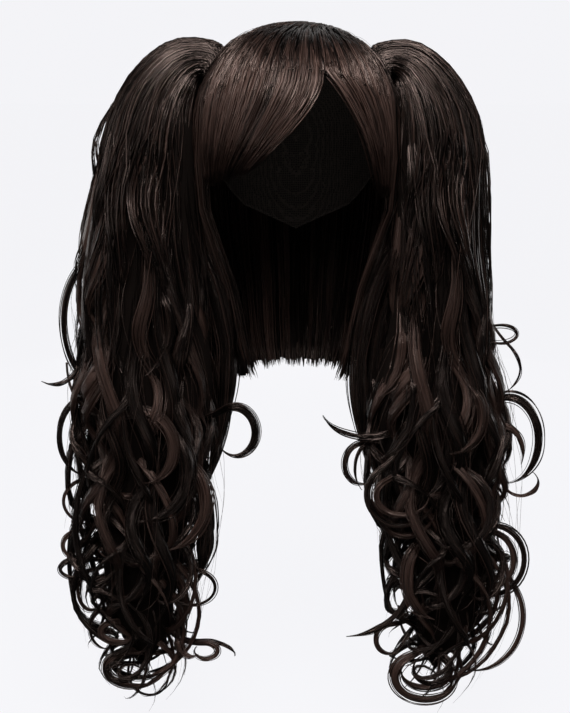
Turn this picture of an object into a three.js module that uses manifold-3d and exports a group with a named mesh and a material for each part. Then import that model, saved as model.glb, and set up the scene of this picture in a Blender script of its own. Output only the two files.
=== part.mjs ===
// A dark brown wig with two long curly tails: a net cap, straight hair radiating from an off-centre whorl,
// a fringe swept to both sides of the forehead, hair that hugs the cheeks and neck, and a tail of ringlets
// on each side of the crown, held by a plain claw clip that the hair hides.
// Millimetres, +Z up, the wearer faces -Y. The origin is the middle of the head opening at brow height.
import * as THREE from 'three';
import { LoftGeometry } from 'three/addons/geometries/LoftGeometry.js';
import { mergeVertices } from 'three/addons/utils/BufferGeometryUtils.js';
import Module from 'manifold-3d';

const wasm = await Module();
wasm.setup();

// The head that the cap is cut for: a squarish dome above the brow.
const HEAD = { halfWidth: 74, halfDepth: 97, height: 83, squareness: 2.3 };

// What each layer adds to the head at its side, front and top.
const CAP_INSIDE = { side: 0, front: 0, top: 0 };
const CAP_OUTSIDE = { side: 1.5, front: 1.5, top: 1.5 };
const HAIR_INSIDE = { side: 2.7, front: 2.7, top: 2.7 };
const HAIR_OUTSIDE = { side: 8, front: 10, top: 11 };
const TAIL_CLEARANCE = { side: 9.2, front: 11.2, top: 12.2 };

// Inside of the hanging hair below the brow, down to the nape and the neck.
const DRAPE = [
  { z: 0, halfWidth: 74, middleY: 0, halfDepth: 97 },
  { z: -40, halfWidth: 73.5, middleY: 7, halfDepth: 88 },
  { z: -80, halfWidth: 69, middleY: 21, halfDepth: 67 },
  { z: -120, halfWidth: 62, middleY: 32, halfDepth: 49 },
  { z: -160, halfWidth: 57, middleY: 37, halfDepth: 39 },
  { z: -205, halfWidth: 53, middleY: 39, halfDepth: 32 },
];

// Lower rim of the cap round the head; a turn of 0 degrees is the middle of the forehead, 180 the nape.
const CAP_RIM = [
  { turn: 0, z: 57 },
  { turn: 40, z: 46 },
  { turn: 65, z: 5 },
  { turn: 85, z: -28 },
  { turn: 110, z: -14 },
  { turn: 140, z: -55 },
  { turn: 180, z: -78 },
];

// Crown hair: its strands start at the whorl, a little to one side and behind the middle of the head.
const WHORL = { x: 15, y: 8 };
const CROWN_EDGE = { mean: 26.75, frontLift: 26.5, sideDip: 4.75 };
const ROUND_COLUMNS = 30;
const STRAND_RIB = 0.7;
const PANEL_GAP = 0.7;
const SPACE_ROWS = 12;

// Panels of hanging hair: where they meet on the head, how far they hang, and how they thin out towards the
// tips and towards a free edge. Teeth are the uneven ends of the locks.
const SIDE_END_TURN = 118;
const BACK_START_TURN = 118.5;
const HAIR_LENGTH_Z = -200;
const LONG_TIPS = { share: 0.3, thinning: 6, teeth: 7, toothDepth: 4 };
const FRINGE_TIPS = { share: 0.3, thinning: 2, teeth: 7, toothDepth: 2.5 };
const FREE_EDGE = { share: 0.35, rise: 5 };
const RIB_FADE = 4;
const SIDE_FRONT_EDGE = [
  { z: 40, turn: 65.1 },
  { z: -58, turn: 65.1 },
  { z: -78, turn: 55 },
  { z: -95, turn: 50 },
  { z: -125, turn: 45 },
  { z: -160, turn: 42 },
  { z: -206, turn: 38 },
];

// The fringe's wide side is combed from the parting across the forehead, its narrow side the other way.
const FRINGE_SWEEP = {
  top: { from: -64.6, to: 15 },
  tip: { from: -64.6, to: -30 },
  tipZ: { from: -34, to: -20 },
  partAt: 1,
  bend: 1.5,
  columns: 11,
};
const FRINGE_SIDE = {
  top: { from: 16, to: 64.6 },
  tip: { from: 52, to: 64.6 },
  tipZ: { from: -38, to: -42 },
  partAt: 0,
  bend: 0.8,
  columns: 7,
};
const FRINGE_ROWS = 7;
const SIDE_COLUMNS = 7;
const BACK_COLUMNS = 13;
const LONG_ROWS = 11;

// Claw clips: a half-round spring arch standing on the crown hair under each tail.
const CLIP = { outside: 9, inside: 6.4, length: 34, lift: 1.1, clearance: 0.35, segments: 7 };
const TAIL_ROOT = { out: 65, y: 6, z: 64, slope: 35.6 };

// Sections of the two tails from root to end: distance from the middle plane, height, half width seen from
// the front, half depth front to back, and place front to back.
const TAIL_LEFT = [
  { out: 58, z: 58, half: 12, deep: 18, y: 6 },
  { out: 74, z: 66, half: 15, deep: 23, y: 6 },
  { out: 92, z: 60, half: 22, deep: 31, y: 4 },
  { out: 108, z: 38, half: 30, deep: 39, y: 2 },
  { out: 117, z: 5, half: 37, deep: 46, y: 0 },
  { out: 122, z: -40, half: 42, deep: 51, y: -1 },
  { out: 125, z: -90, half: 47, deep: 55, y: -2 },
  { out: 127, z: -140, half: 53, deep: 58, y: -3 },
  { out: 126, z: -190, half: 58, deep: 60, y: -4 },
  { out: 127, z: -240, half: 60, deep: 61, y: -5 },
  { out: 130, z: -290, half: 62, deep: 60, y: -6 },
  { out: 131, z: -340, half: 62, deep: 58, y: -6 },
  { out: 132, z: -390, half: 57, deep: 53, y: -7 },
  { out: 130, z: -436, half: 46, deep: 43, y: -8 },
  { out: 131, z: -472, half: 24, deep: 24, y: -8 },
];
const TAIL_RIGHT = [
  { out: 58, z: 58, half: 12, deep: 18, y: 6 },
  { out: 73, z: 65, half: 14, deep: 22, y: 6 },
  { out: 89, z: 60, half: 20, deep: 30, y: 4 },
  { out: 104, z: 38, half: 28, deep: 38, y: 2 },
  { out: 113, z: 5, half: 35, deep: 45, y: 0 },
  { out: 117, z: -40, half: 38, deep: 50, y: -1 },
  { out: 118, z: -90, half: 38, deep: 53, y: -2 },
  { out: 118, z: -140, half: 42, deep: 56, y: -3 },
  { out: 118, z: -190, half: 53, deep: 60, y: -4 },
  { out: 118, z: -240, half: 61, deep: 61, y: -5 },
  { out: 121, z: -290, half: 60, deep: 60, y: -6 },
  { out: 130, z: -340, half: 57, deep: 57, y: -6 },
  { out: 133, z: -390, half: 54, deep: 52, y: -7 },
  { out: 121, z: -438, half: 44, deep: 42, y: -8 },
  { out: 116, z: -474, half: 24, deep: 24, y: -8 },
];
const TAIL = {
  columns: 16,
  rows: 22,
  ribs: 4,
  ribDepth: 0.08,
  waves: 4.5,
  waveTurn: 1.1,
  rootFill: 0.98,
  endFill: 0.66,
};

// Long ringlets wound round each tail: they leave the gathered hair about halfway down, one after another
// round the tail, and hang to its end. Rows count along the table of sections.
const RINGLETS = {
  count: 9,
  leaveRow: 5.6,
  leaveSpread: 2.6,
  endRow: 12.7,
  endSpread: 1.3,
  stagger: 0.618,
  seatAtStart: 0.6,
  seatAtEnd: 0.8,
  radius: 15,
  turns: 2.2,
  thick: 27,
  steps: 13,
};

// Single curls that stand out of the tails. Each is a helix: where its axis starts, how far the axis leans
// out and how far it runs, the coil's radius, turns and starting angle, the axis's tilt to the front, and
// the lock's thickness.
const CURLS_LEFT = [
  { out: 165, y: -12, z: -160, lean: 16, run: 60, radius: 14, turns: 0.8, phase: 190, tilt: 12, thick: 7 },
  { out: 171, y: -8, z: -212, lean: 2, run: 98, radius: 27, turns: -0.75, phase: 135, tilt: 6, thick: 10 },
  { out: 170, y: -14, z: -336, lean: 14, run: 70, radius: 19, turns: 1.3, phase: 60, tilt: 42, thick: 8 },
  { out: 138, y: -12, z: -418, lean: 4, run: 84, radius: 18, turns: 1.4, phase: 20, tilt: 44, thick: 9 },
  { out: 98, y: -6, z: -345, lean: -14, run: 78, radius: 20, turns: 1.3, phase: 100, tilt: 44, thick: 8 },
  { out: 82, y: -14, z: -190, lean: -14, run: 80, radius: 16, turns: 1.2, phase: 60, tilt: 24, thick: 8 },
];
const CURLS_RIGHT = [
  { out: 150, y: -18, z: -115, lean: 20, run: 66, radius: 11, turns: 1.3, phase: 200, tilt: 36, thick: 7 },
  { out: 166, y: -12, z: -190, lean: 12, run: 108, radius: 29, turns: -0.8, phase: 130, tilt: 10, thick: 12 },
  { out: 164, y: -6, z: -300, lean: 6, run: 86, radius: 22, turns: 1.1, phase: 220, tilt: 20, thick: 9 },
  { out: 152, y: -10, z: -388, lean: 2, run: 92, radius: 22, turns: 1.2, phase: 320, tilt: 36, thick: 8 },
  { out: 108, y: -6, z: -376, lean: -22, run: 80, radius: 16, turns: 1.3, phase: 170, tilt: 36, thick: 7 },
  { out: 78, y: -12, z: -208, lean: -10, run: 84, radius: 16, turns: 1.2, phase: 60, tilt: 28, thick: 8 },
];
const LOCK = { sides: 5, steps: 10, openBy: 0.3, tipShare: 0.42 };

const RAD = Math.PI / 180;
const BACKWARD = new THREE.Vector3(0, 1, 0);

const hairMaterial = (color) => new THREE.MeshStandardMaterial({ color, roughness: 0.42, metalness: 0 });
const CROWN_COLOUR = 0x2a1d19;
const FRINGE_COLOUR = 0x3a2924;
const DRAPE_COLOUR = 0x2e201c;
const TAIL_COLOUR = 0x241814;
const CAP_COLOUR = 0x16120f;
const CLIP_COLOUR = 0x1b1512;

// Straight interpolation of one column of a table that is ordered by another column.
function readTable(table, key, column, at) {
  const rising = table[0][key] < table[table.length - 1][key];
  const rows = rising ? table : [...table].reverse();
  let i = 1;
  while (i < rows.length - 1 && rows[i][key] < at) {
    i += 1;
  }
  const share = (at - rows[i - 1][key]) / (rows[i][key] - rows[i - 1][key]);
  const held = THREE.MathUtils.clamp(share, 0, 1);
  return THREE.MathUtils.lerp(rows[i - 1][column], rows[i][column], held);
}

// A layer part of the way between two others.
function mixLayer(from, to, share) {
  return {
    side: THREE.MathUtils.lerp(from.side, to.side, share),
    front: THREE.MathUtils.lerp(from.front, to.front, share),
    top: THREE.MathUtils.lerp(from.top, to.top, share),
  };
}

// Share of the full girth that the dome has at height z.
function domeShare(layer, z) {
  const n = HEAD.squareness;
  const level = THREE.MathUtils.clamp(z / (HEAD.height + layer.top), 0, 1);
  return (1 - level ** n) ** (1 / n);
}

// Point of a layer at a turn round the head and a height: on the dome above the brow, on the drape below.
function layerPoint(layer, turn, z) {
  const across = Math.sin(turn * RAD);
  const back = -Math.cos(turn * RAD);
  if (z >= 0) {
    const share = domeShare(layer, z);
    const x = share * (HEAD.halfWidth + layer.side) * across;
    const y = share * (HEAD.halfDepth + layer.front) * back;
    return new THREE.Vector3(x, y, z);
  }
  const halfWidth = readTable(DRAPE, 'z', 'halfWidth', z) + layer.side;
  const halfDepth = readTable(DRAPE, 'z', 'halfDepth', z) + layer.front;
  const middleY = readTable(DRAPE, 'z', 'middleY', z);
  return new THREE.Vector3(halfWidth * across, middleY + halfDepth * back, z);
}

// The same point drawn towards the whorl by a share, so that the rows of the crown radiate from it.
function whorlPoint(layer, turn, z, pull) {
  const point = layerPoint(layer, turn, z);
  if (z < 0) {
    return point;
  }
  const shift = pull * (1 - domeShare(layer, z));
  point.x += WHORL.x * shift;
  point.y += WHORL.y * shift;
  const n = HEAD.squareness;
  const across = point.x / (HEAD.halfWidth + layer.side);
  const along = point.y / (HEAD.halfDepth + layer.front);
  point.z = (HEAD.height + layer.top) * (1 - Math.hypot(across, along) ** n) ** (1 / n);
  return point;
}

// Height of the crown hair's lower edge, where the hanging panels begin.
function crownEdge(turn) {
  const { mean, frontLift, sideDip } = CROWN_EDGE;
  return mean + frontLift * Math.cos(turn * RAD) + sideDip * Math.cos(2 * turn * RAD);
}

function capRim(turn) {
  return readTable(CAP_RIM, 'turn', 'z', Math.abs(turn));
}

// A closed solid from a geometry: shared vertices merged, collapsed triangles dropped.
function solidFrom(geometry) {
  const bare = new THREE.BufferGeometry();
  bare.setAttribute('position', geometry.attributes.position);
  bare.setIndex(geometry.index);
  const welded = mergeVertices(bare, 1e-4);
  const corners = welded.index.array;
  const kept = [];
  for (let i = 0; i < corners.length; i += 3) {
    const [a, b, c] = [corners[i], corners[i + 1], corners[i + 2]];
    if (a !== b && b !== c && c !== a) {
      kept.push(a, b, c);
    }
  }
  const vertProperties = new Float32Array(welded.attributes.position.array);
  const triVerts = new Uint32Array(kept);
  return new wasm.Manifold(new wasm.Mesh({ numProp: 3, vertProperties, triVerts }));
}

function geometryFrom(solid) {
  const mesh = solid.getMesh();
  const geometry = new THREE.BufferGeometry();
  geometry.setAttribute('position', new THREE.Float32BufferAttribute(mesh.vertProperties, 3));
  geometry.setIndex(new THREE.Uint32BufferAttribute(mesh.triVerts, 1));
  geometry.computeVertexNormals();
  return geometry;
}

function piece(name, solid, material) {
  const mesh = new THREE.Mesh(geometryFrom(solid), material);
  mesh.name = name;
  return mesh;
}

// A domed shell: rings from the outer pole down to the edge, then up the inside to the inner pole.
function domeShell({ outside, inside, edgeAt, outerRows, innerRows, rib }) {
  const ring = (layer, share, ribHeight) => {
    const points = [];
    const top = HEAD.height + layer.top;
    for (let j = 0; j < ROUND_COLUMNS; j += 1) {
      const turn = 180 - (360 * j) / ROUND_COLUMNS;
      const edge = edgeAt(turn);
      const z = top * Math.cos(share * Math.acos(edge / top));
      const wave = j % 2 === 0 ? ribHeight : -ribHeight;
      const ribbed = { side: layer.side + wave, front: layer.front + wave, top: layer.top };
      points.push(whorlPoint(ribbed, turn, z, 1 - share));
    }
    return points;
  };
  const sections = [];
  for (let i = 0; i <= outerRows; i += 1) {
    const share = i / outerRows;
    sections.push(ring(outside, share, rib * share));
  }
  for (let i = innerRows; i >= 0; i -= 1) {
    sections.push(ring(inside, i / innerRows, 0));
  }
  return solidFrom(new LoftGeometry(sections));
}

// A section that runs out along one face of a sheet and back along the other, closed up to its middle line.
function closedUp(section) {
  const last = section.length - 1;
  return section.map((point, j) => point.clone().lerp(section[last - j], 0.5));
}

// A panel of hanging hair, lofted from the crown edge to its tips. Each section runs along the outer face
// and back along the inner one; shareAt gives how much of the hair's full thickness is there.
function hairPanel({ columns, rows, turnAt, heightAt, shareAt }) {
  const sections = [];
  for (let i = 0; i <= rows; i += 1) {
    const v = i / rows;
    const outer = [];
    const inner = [];
    for (let j = 0; j <= columns; j += 1) {
      const u = j / columns;
      const turn = turnAt(u, v);
      const z = heightAt(u, v, turn);
      const rib = (j % 2 === 0 ? STRAND_RIB : -STRAND_RIB) * Math.min(1, RIB_FADE * u, RIB_FADE * (1 - u));
      const layer = mixLayer(HAIR_INSIDE, HAIR_OUTSIDE, shareAt(u, v));
      layer.side += rib;
      layer.front += rib;
      outer.unshift(layerPoint(layer, turn, z));
      inner.push(layerPoint(HAIR_INSIDE, turn, z));
    }
    sections.push([...outer, ...inner]);
  }
  sections.unshift(closedUp(sections[0]));
  sections.push(closedUp(sections[sections.length - 1]));
  return solidFrom(new LoftGeometry(sections));
}

const panelTop = (turn) => crownEdge(turn) - PANEL_GAP;
const jagged = (u, tips) => tips.toothDepth * Math.cos(tips.teeth * Math.PI * u);
const tipShare = (v, tips) => THREE.MathUtils.lerp(1, tips.share, v ** tips.thinning);
const edgeShare = (fromEdge) => Math.min(1, FREE_EDGE.share + FREE_EDGE.rise * fromEdge);

// One side of the fringe, from the crown edge over the forehead, thin along the parting.
function fringe({ top, tip, tipZ, partAt, bend, columns }) {
  const { lerp } = THREE.MathUtils;
  const topTurn = (u) => lerp(top.from, top.to, u);
  const tipHeight = (u) => lerp(tipZ.from, tipZ.to, u) + jagged(u, FRINGE_TIPS);
  return hairPanel({
    columns,
    rows: FRINGE_ROWS,
    turnAt: (u, v) => lerp(topTurn(u), lerp(tip.from, tip.to, u), v ** bend),
    heightAt: (u, v) => lerp(panelTop(topTurn(u)), tipHeight(u), v),
    shareAt: (u, v) => tipShare(v, FRINGE_TIPS) * edgeShare(Math.abs(u - partAt)),
  });
}

// Hair on a cheek: from the crown edge over the ear, hugging the cheek and the neck.
function sideHair(side) {
  const { lerp } = THREE.MathUtils;
  const topZ = panelTop(FRINGE_SIDE.top.to);
  const frontTurn = (v) => readTable(SIDE_FRONT_EDGE, 'z', 'turn', lerp(topZ, HAIR_LENGTH_Z, v));
  const fromFront = (u) => (side > 0 ? u : 1 - u);
  const turnAt = (u, v) => side * lerp(frontTurn(v), SIDE_END_TURN, fromFront(u));
  const tipHeight = (u) => HAIR_LENGTH_Z + jagged(u, LONG_TIPS);
  return hairPanel({
    columns: SIDE_COLUMNS,
    rows: LONG_ROWS,
    turnAt,
    heightAt: (u, v) => lerp(panelTop(turnAt(u, 0)), tipHeight(u), v),
    shareAt: (u, v) => tipShare(v, LONG_TIPS) * edgeShare(fromFront(u)),
  });
}

// Hair at the back of the head, from the crown edge to the neck.
function backHair() {
  const { lerp } = THREE.MathUtils;
  const turnAt = (u) => lerp(BACK_START_TURN, 360 - BACK_START_TURN, u);
  const tipHeight = (u) => HAIR_LENGTH_Z + jagged(u, { ...LONG_TIPS, teeth: BACK_COLUMNS - 1 });
  return hairPanel({
    columns: BACK_COLUMNS,
    rows: LONG_ROWS,
    turnAt,
    heightAt: (u, v) => lerp(panelTop(turnAt(u)), tipHeight(u), v),
    shareAt: (u, v) => tipShare(v, LONG_TIPS),
  });
}

// The space that the head hair takes up, for trimming the tails that lie on it.
function headHairSpace() {
  const top = HEAD.height + TAIL_CLEARANCE.top;
  const heights = [];
  for (let i = 1; i < SPACE_ROWS; i += 1) {
    heights.push(top * Math.cos((i / SPACE_ROWS) * 90 * RAD));
  }
  heights.push(...DRAPE.map((row) => row.z));
  const sections = heights.map((z) => {
    const points = [];
    for (let j = 0; j < ROUND_COLUMNS; j += 1) {
      points.push(layerPoint(TAIL_CLEARANCE, (-360 * j) / ROUND_COLUMNS, z));
    }
    return points;
  });
  return solidFrom(new LoftGeometry(sections, { capStart: true, capEnd: true }));
}

// A half-round arch along Y, standing on its two feet, placed square to the crown under a tail.
function clipArch(side, grow) {
  const profile = new THREE.Shape();
  profile.absarc(0, 0, CLIP.outside + grow, 0, Math.PI, false);
  profile.absarc(0, 0, CLIP.inside - grow, Math.PI, 0, true);
  const arch = new THREE.ExtrudeGeometry(profile, {
    depth: CLIP.length + 2 * grow,
    bevelEnabled: false,
    curveSegments: CLIP.segments,
  });
  arch.translate(0, 0, -CLIP.length / 2 - grow);
  arch.rotateX(90 * RAD);
  arch.translate(0, 0, CLIP.lift - grow);
  arch.rotateY((90 - TAIL_ROOT.slope) * RAD * side);
  arch.translate(side * TAIL_ROOT.out, TAIL_ROOT.y, TAIL_ROOT.z);
  return solidFrom(arch);
}

// The run of a tail: at each row of its table its middle, its direction across, and its half sizes.
function tailRun(side, table) {
  const path = new THREE.CatmullRomCurve3(
    table.map((row) => new THREE.Vector3(side * row.out, row.y, row.z)),
  );
  const girth = new THREE.CatmullRomCurve3(
    table.map((row) => new THREE.Vector3(row.half, row.deep, 0)),
  );
  const lastRow = table.length - 1;
  return (row) => {
    const tangent = path.getTangent(row / lastRow);
    return {
      middle: path.getPoint(row / lastRow),
      across: new THREE.Vector3().crossVectors(BACKWARD, tangent).normalize(),
      half: girth.getPoint(row / lastRow).x,
      deep: girth.getPoint(row / lastRow).y,
    };
  };
}

// Point of a tail's section at an angle round it and a share of the way out from its middle.
function sectionPoint(section, angle, share) {
  const point = section.middle.clone();
  point.addScaledVector(section.across, section.half * share * Math.cos(angle));
  point.addScaledVector(BACKWARD, section.deep * share * Math.sin(angle));
  return point;
}

// The gathered mass of a tail: ribbed sections along a run that rises from the crown and falls.
function tailCore(run, lastRow) {
  const sections = [];
  for (let i = 0; i <= TAIL.rows; i += 1) {
    const t = i / TAIL.rows;
    const section = run(t * lastRow);
    const fill = THREE.MathUtils.lerp(TAIL.rootFill, TAIL.endFill, t * t);
    const wave = TAIL.waveTurn * Math.sin(2 * Math.PI * TAIL.waves * t);
    const points = [];
    for (let j = 0; j < TAIL.columns; j += 1) {
      const angle = (2 * Math.PI * j) / TAIL.columns;
      const rib = 1 + TAIL.ribDepth * t * Math.cos(TAIL.ribs * angle + wave);
      points.push(sectionPoint(section, angle, fill * rib));
    }
    sections.push(points);
  }
  return solidFrom(new LoftGeometry(sections, { capStart: true, capEnd: true }));
}

// A tapering lock of hair along a list of points.
function lock(points, thick, steps) {
  const path = new THREE.CatmullRomCurve3(points);
  const frames = path.computeFrenetFrames(steps, false);
  const sections = [];
  for (let i = 0; i <= steps; i += 1) {
    const t = i / steps;
    const middle = path.getPointAt(t);
    const radius = (thick / 2) * THREE.MathUtils.lerp(1, LOCK.tipShare, t * t);
    const ring = [];
    for (let j = 0; j < LOCK.sides; j += 1) {
      const angle = (2 * Math.PI * j) / LOCK.sides;
      const point = middle.clone();
      point.addScaledVector(frames.normals[i], radius * Math.cos(angle));
      point.addScaledVector(frames.binormals[i], radius * Math.sin(angle));
      ring.push(point);
    }
    sections.push(ring);
  }
  return solidFrom(new LoftGeometry(sections, { capStart: true, capEnd: true }));
}

// One of the long ringlets: it winds about a line that follows the tail's section from row to row.
function longRinglet(run, number) {
  const early = (number * RINGLETS.stagger) % 1;
  const late = (number * RINGLETS.stagger * 2) % 1;
  const angleRoundTail = (2 * Math.PI * number) / RINGLETS.count;
  const handed = number % 2 === 0 ? 1 : -1;
  const points = [];
  for (let i = 0; i <= 2 * RINGLETS.steps; i += 1) {
    const t = i / (2 * RINGLETS.steps);
    const start = RINGLETS.leaveRow + early * RINGLETS.leaveSpread;
    const end = RINGLETS.endRow + late * RINGLETS.endSpread;
    const section = run(THREE.MathUtils.lerp(start, end, t));
    const seat = THREE.MathUtils.lerp(RINGLETS.seatAtStart, RINGLETS.seatAtEnd, t);
    const open = RINGLETS.radius * THREE.MathUtils.smoothstep(t, 0, LOCK.openBy);
    const wind = angleRoundTail + 2 * Math.PI * RINGLETS.turns * t * handed;
    const point = sectionPoint(section, angleRoundTail, seat);
    point.addScaledVector(section.across, open * Math.cos(wind));
    point.addScaledVector(BACKWARD, open * Math.sin(wind));
    points.push(point);
  }
  return lock(points, RINGLETS.thick, RINGLETS.steps);
}

// A single curl: a helix that opens from its axis.
function curl(side, row) {
  const axis = new THREE.Vector3(0, -Math.sin(row.tilt * RAD), -Math.cos(row.tilt * RAD));
  const acrossAxis = new THREE.Vector3(0, axis.z, -axis.y);
  const points = [];
  for (let i = 0; i <= 2 * LOCK.steps; i += 1) {
    const t = i / (2 * LOCK.steps);
    const open = row.radius * THREE.MathUtils.smoothstep(t, 0, LOCK.openBy);
    const angle = row.phase * RAD + 2 * Math.PI * row.turns * t;
    const point = new THREE.Vector3(row.out + row.lean * t + open * Math.cos(angle), row.y, row.z);
    point.addScaledVector(axis, row.run * t);
    point.addScaledVector(acrossAxis, open * Math.sin(angle));
    point.x *= side;
    points.push(point);
  }
  return lock(points, row.thick, LOCK.steps);
}

// A whole tail: the gathered mass with its ringlets, trimmed to lie on the head hair and round its clip.
function tail(side, table, curls) {
  const run = tailRun(side, table);
  let solid = tailCore(run, table.length - 1);
  for (let number = 0; number < RINGLETS.count; number += 1) {
    solid = solid.add(longRinglet(run, number));
  }
  for (const row of curls) {
    solid = solid.add(curl(side, row));
  }
  return solid.subtract(headHairSpace()).subtract(clipArch(side, CLIP.clearance));
}

const cap = domeShell({
  outside: CAP_OUTSIDE,
  inside: CAP_INSIDE,
  edgeAt: capRim,
  outerRows: 7,
  innerRows: 7,
  rib: 0,
});
const crown = domeShell({
  outside: HAIR_OUTSIDE,
  inside: HAIR_INSIDE,
  edgeAt: crownEdge,
  outerRows: 8,
  innerRows: 7,
  rib: STRAND_RIB,
});

const headHair = new THREE.Group();
headHair.add(
  piece('cap', cap, new THREE.MeshStandardMaterial({ color: CAP_COLOUR, roughness: 0.9, metalness: 0 })),
  piece('crown_hair', crown, hairMaterial(CROWN_COLOUR)),
  piece('fringe_sweep', fringe(FRINGE_SWEEP), hairMaterial(FRINGE_COLOUR)),
  piece('fringe_side', fringe(FRINGE_SIDE), hairMaterial(FRINGE_COLOUR)),
  piece('side_hair_left', sideHair(-1), hairMaterial(DRAPE_COLOUR)),
  piece('side_hair_right', sideHair(1), hairMaterial(DRAPE_COLOUR)),
  piece('back_hair', backHair(), hairMaterial(DRAPE_COLOUR)),
);

const tails = new THREE.Group();
const sides = [
  { name: 'left', side: -1, table: TAIL_LEFT, curls: CURLS_LEFT },
  { name: 'right', side: 1, table: TAIL_RIGHT, curls: CURLS_RIGHT },
];
for (const { name, side, table, curls } of sides) {
  const clipLook = { color: CLIP_COLOUR, roughness: 0.5, metalness: 0 };
  tails.add(
    piece(`tail_${name}`, tail(side, table, curls), hairMaterial(TAIL_COLOUR)),
    piece(`clip_${name}`, clipArch(side, 0), new THREE.MeshStandardMaterial(clipLook)),
  );
}

const wig = new THREE.Group();
wig.name = 'curly_tail_wig';
wig.add(headHair, tails);

export default wig;
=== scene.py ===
import bmesh
import bpy
import math
import numpy as np
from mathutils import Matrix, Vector


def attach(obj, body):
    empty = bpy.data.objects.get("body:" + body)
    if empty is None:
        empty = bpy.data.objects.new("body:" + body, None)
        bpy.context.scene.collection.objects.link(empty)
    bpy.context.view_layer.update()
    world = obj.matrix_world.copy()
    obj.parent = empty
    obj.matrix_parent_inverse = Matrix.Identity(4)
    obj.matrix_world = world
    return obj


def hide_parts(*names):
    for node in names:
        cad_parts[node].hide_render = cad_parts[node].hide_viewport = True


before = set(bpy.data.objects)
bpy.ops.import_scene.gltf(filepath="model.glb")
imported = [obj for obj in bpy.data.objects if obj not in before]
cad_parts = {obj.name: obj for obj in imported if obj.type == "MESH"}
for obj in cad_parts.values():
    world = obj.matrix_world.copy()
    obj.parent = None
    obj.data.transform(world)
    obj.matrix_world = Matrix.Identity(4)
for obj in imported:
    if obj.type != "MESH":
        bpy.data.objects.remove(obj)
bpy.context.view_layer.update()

# Net cap
# The wig is sewn on a dome of stretch net. Rows of weft tape run round it, with the hair's roots stitched in.
# Only its inside shows, through the face opening.
MM = 0.001
SEAM_GAP = 0.02
HALF_WIDTH, HALF_DEPTH, HEIGHT, SQUARENESS = 74.0, 97.0, 83.0, 2.3
CAP_OUTSIDE = np.array([1.5, 1.5, 1.5])
DRAPE_DROP = [0, 40, 80, 120, 160, 205]
DRAPE_HALF_WIDTH = [74, 73.5, 69, 62, 57, 53]
DRAPE_MIDDLE_Y = [0, 7, 21, 32, 37, 39]
DRAPE_HALF_DEPTH = [97, 88, 67, 49, 39, 32]
CAP_RIM_TURN = [0, 40, 65, 85, 110, 140, 180]
CAP_RIM_Z = [57, 46, 5, -28, -14, -55, -78]
CAP_COLUMNS, CAP_ROWS, CAP_WALL = 56, 44, 1.2
WEFT_ROWS, WEFT_DEPTH, WEFT_EDGE, WEFT_START = 11, 0.54, 3, 6


def dome_share(layer, z):
    """Share of the full girth that the head's dome has at a height."""
    level = np.clip(z / (HEIGHT + layer[..., 2]), 0, 1)
    return (1 - level ** SQUARENESS) ** (1 / SQUARENESS)


def drape_size(z):
    """Half width, middle and half depth of the hanging hair's inside at a height below the brow."""
    drop = np.maximum(-z, 0)
    half_width = np.interp(drop, DRAPE_DROP, DRAPE_HALF_WIDTH)
    middle_y = np.interp(drop, DRAPE_DROP, DRAPE_MIDDLE_Y)
    half_depth = np.interp(drop, DRAPE_DROP, DRAPE_HALF_DEPTH)
    return half_width, middle_y, half_depth


def layer_point(layer, turn, z):
    """Point of a layer of the wig at a turn round the head (0 is the forehead) and a height, in mm."""
    half_width, middle_y, half_depth = drape_size(z)
    share = np.where(z >= 0, dome_share(layer, z), 1)
    x = share * (half_width + layer[..., 0]) * np.sin(np.radians(turn))
    y = middle_y - share * (half_depth + layer[..., 1]) * np.cos(np.radians(turn))
    return np.stack(np.broadcast_arrays(x, y, z), axis=-1)


def mapped_sheet(columns, rows, place):
    """A bmesh grid whose sides u and v run from 0 to 1, carried to place(u, v), with u and v kept as UV."""
    bm = bmesh.new()
    bmesh.ops.create_grid(bm, x_segments=columns, y_segments=rows, size=0.5)
    grid = np.array([vert.co[:2] for vert in bm.verts]) + 0.5
    uv_layer = bm.loops.layers.uv.new("OFBake")
    for face in bm.faces:
        for loop in face.loops:
            loop[uv_layer].uv = grid[loop.vert.index]
    for vert, point in zip(bm.verts, place(grid[:, 0], grid[:, 1]) * MM):
        vert.co = point
    return bm


def closed_shell(bm, thickness):
    """Merges a sheet's seam, turns its faces outwards and gives it a wall."""
    bmesh.ops.remove_doubles(bm, verts=bm.verts, dist=SEAM_GAP * MM)
    bmesh.ops.recalc_face_normals(bm, faces=bm.faces)
    middle = sum((face.calc_center_median() for face in bm.faces), Vector()) / len(bm.faces)
    facing_out = sum(face.normal.dot(face.calc_center_median() - middle) for face in bm.faces)
    if facing_out < 0:
        bmesh.ops.reverse_faces(bm, faces=bm.faces)
    bmesh.ops.solidify(bm, geom=bm.faces, thickness=thickness * MM)
    bmesh.ops.recalc_face_normals(bm, faces=bm.faces)


def add_piece(name, mesh, material, node):
    """Links a finished mesh as a piece that stands for a node of the frame."""
    piece = bpy.data.objects.new(name, mesh)
    bpy.context.scene.collection.objects.link(piece)
    mesh.materials.append(material)
    mesh.polygons.foreach_set("use_smooth", np.ones(len(mesh.polygons), bool))
    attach(piece, "root")
    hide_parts(node)
    return piece


def mesh_of(bm, name):
    """The mesh of a bmesh that is done with."""
    mesh = bpy.data.meshes.new(name)
    bm.to_mesh(mesh)
    bm.free()
    return mesh


def cap_place(u, v):
    """Point of the cap's outside: u runs round the head, v from the pole to the rim. The weft rows press
    inwards."""
    turn = 360 * u - 180
    rim = np.interp(np.abs(turn), CAP_RIM_TURN, CAP_RIM_Z)
    weft = np.maximum(0, np.cos(2 * math.pi * WEFT_ROWS * v)) ** WEFT_EDGE * np.minimum(1, WEFT_START * v)
    layer = CAP_OUTSIDE - WEFT_DEPTH * weft[:, None]
    top = HEIGHT + layer[:, 2]
    z = top * np.cos(v * np.arccos(rim / top))
    return layer_point(layer, turn, z)


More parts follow.
